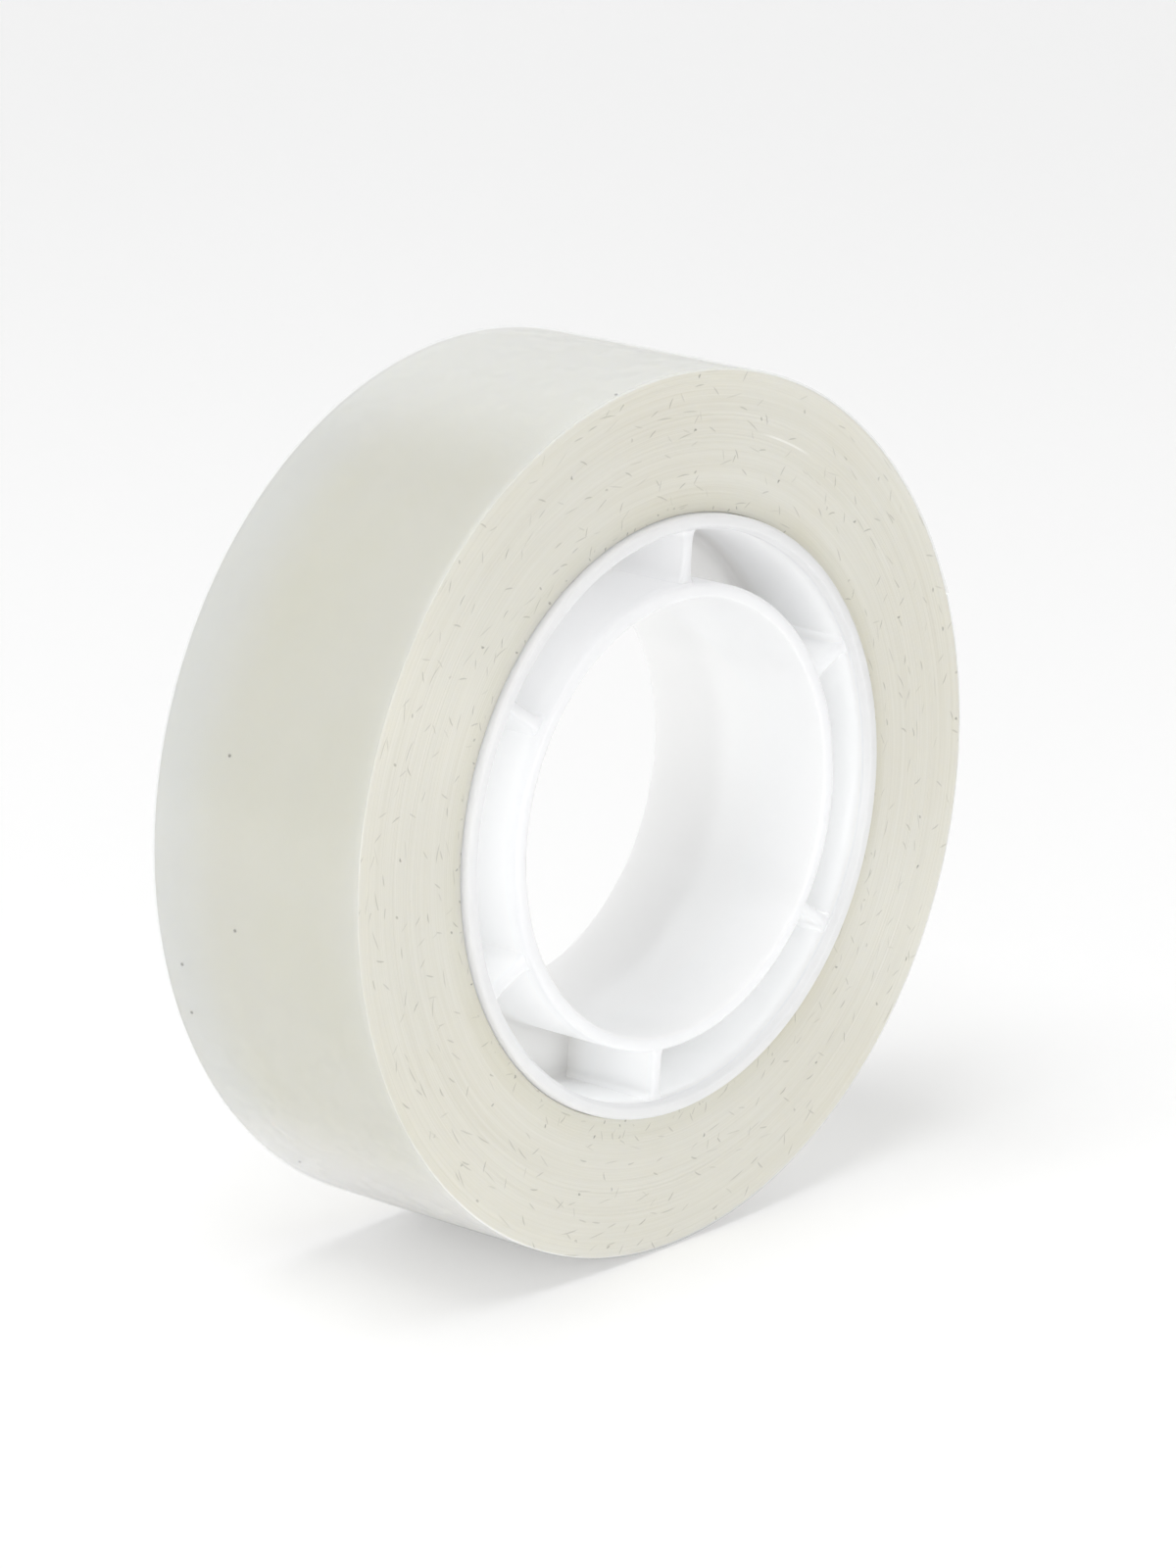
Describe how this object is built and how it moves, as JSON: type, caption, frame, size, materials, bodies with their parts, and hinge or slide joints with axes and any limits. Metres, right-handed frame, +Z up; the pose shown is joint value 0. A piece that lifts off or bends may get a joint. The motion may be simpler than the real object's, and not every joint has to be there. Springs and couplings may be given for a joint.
{
  "type": "adhesive tape roll",
  "caption": "Roll of clear adhesive tape wound on a ribbed white moulded core with a small round bore; its free end peels from the outermost turn.",
  "frame": {"origin": "centre of the roll, on its axis, midway between the front end of the core and the back side of the tape", "axes": "+Y along the roll's axis from the open, ribbed side of the core to the back; +Z up with the roll standing on its rim; +X to the right seen from the front"},
  "size_m": [0.0516, 0.0164, 0.0516],
  "materials": {
    "core_plastic": "satin moulded white plastic",
    "wound_tape": "slit edges of many turns of clear tape, cream, satin",
    "tape_film": "clear glossy film over wound tape",
    "tape_end_film": "clear glossy film"
  },
  "bodies": {
    "roll": {"core": "core_plastic", "tape_pack": "wound_tape", "outer_turn": "tape_film"},
    "free_end": {"tape_end": "tape_end_film"}
  },
  "joints": [
    {"name": "free_end_peel", "type": "hinge", "parent": "roll", "child": "free_end", "pos_m": [0.01691, 0, 0.01929], "axis": [0, -1, 0], "range_deg": [0, 110]}
  ]
}
